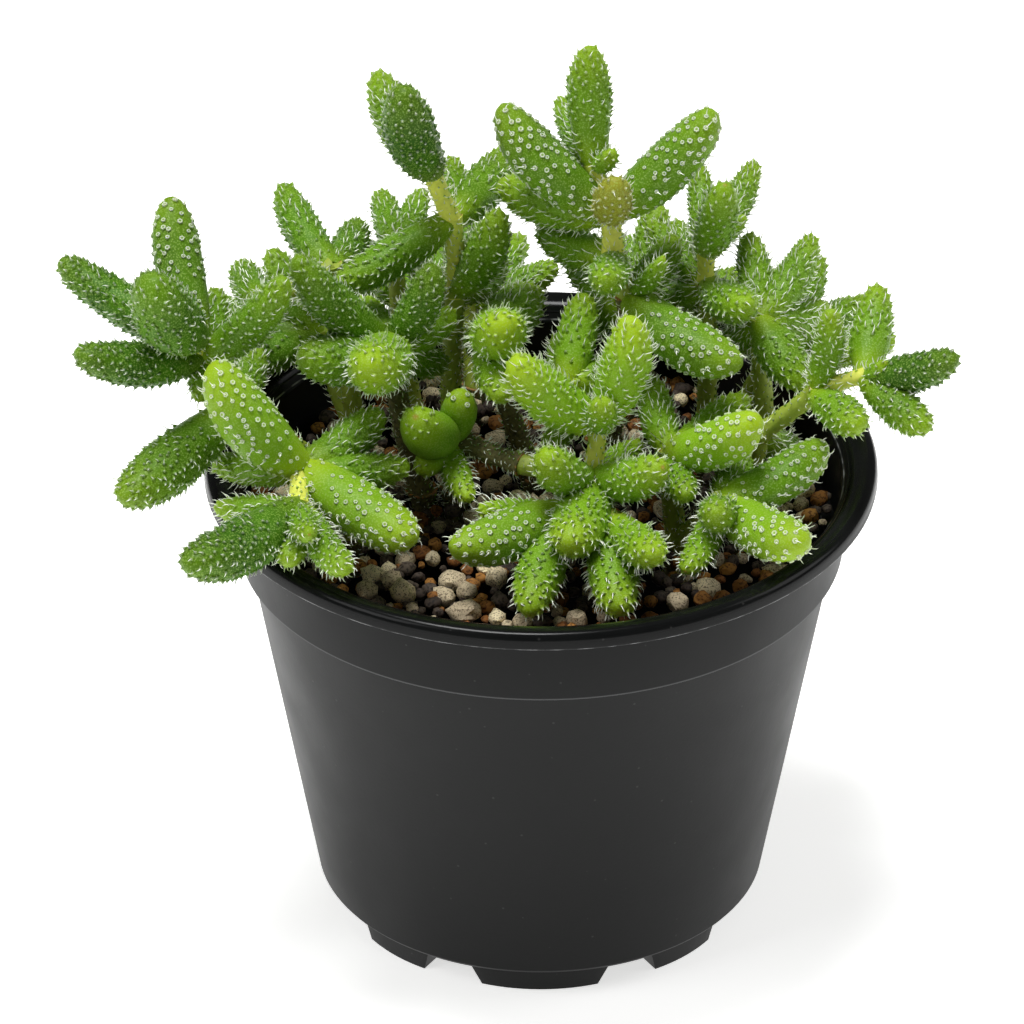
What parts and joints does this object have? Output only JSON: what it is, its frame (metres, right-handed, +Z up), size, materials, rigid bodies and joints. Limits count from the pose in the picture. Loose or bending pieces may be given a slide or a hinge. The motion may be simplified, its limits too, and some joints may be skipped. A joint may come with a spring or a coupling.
{
  "type": "potted pickle plant",
  "caption": "Bushy small succulent with plump bristly pickle-shaped leaves on short stems, standing in gritty soil in a round black plastic nursery pot with a flat rim and feet.",
  "frame": {"origin": "on the ground under the middle of the whole object's footprint; the pot's axis stands a few millimetres beside it", "axes": "+Z up along the pot's axis, -Y towards the front that the picture shows, where the wide foot is"},
  "size_m": [0.1198, 0.096, 0.1219],
  "materials": {
    "pot_plastic": "satin moulded black polypropylene",
    "gritty_soil": "dry matt grit of pumice, lava and peat",
    "leaf": "fleshy green skin with glassy papillae and white bristles"
  },
  "bodies": {
    "root": {"pot": "pot_plastic", "soil": "gritty_soil", "shoot_left_high": "leaf", "shoot_left_front": "leaf", "shoot_upper_left": "leaf", "shoot_back_left": "leaf", "shoot_inner_left": "leaf", "shoot_centre_left": "leaf", "shoot_centre_front": "leaf", "shoot_centre": "leaf", "shoot_top": "leaf", "shoot_back_right": "leaf", "shoot_right_back": "leaf", "shoot_right": "leaf", "shoot_right_front": "leaf", "shoot_rear_left": "leaf", "shoot_rear_inner": "leaf", "shoot_rear_right": "leaf", "shoot_rear_far_right": "leaf"}
  },
  "joints": []
}
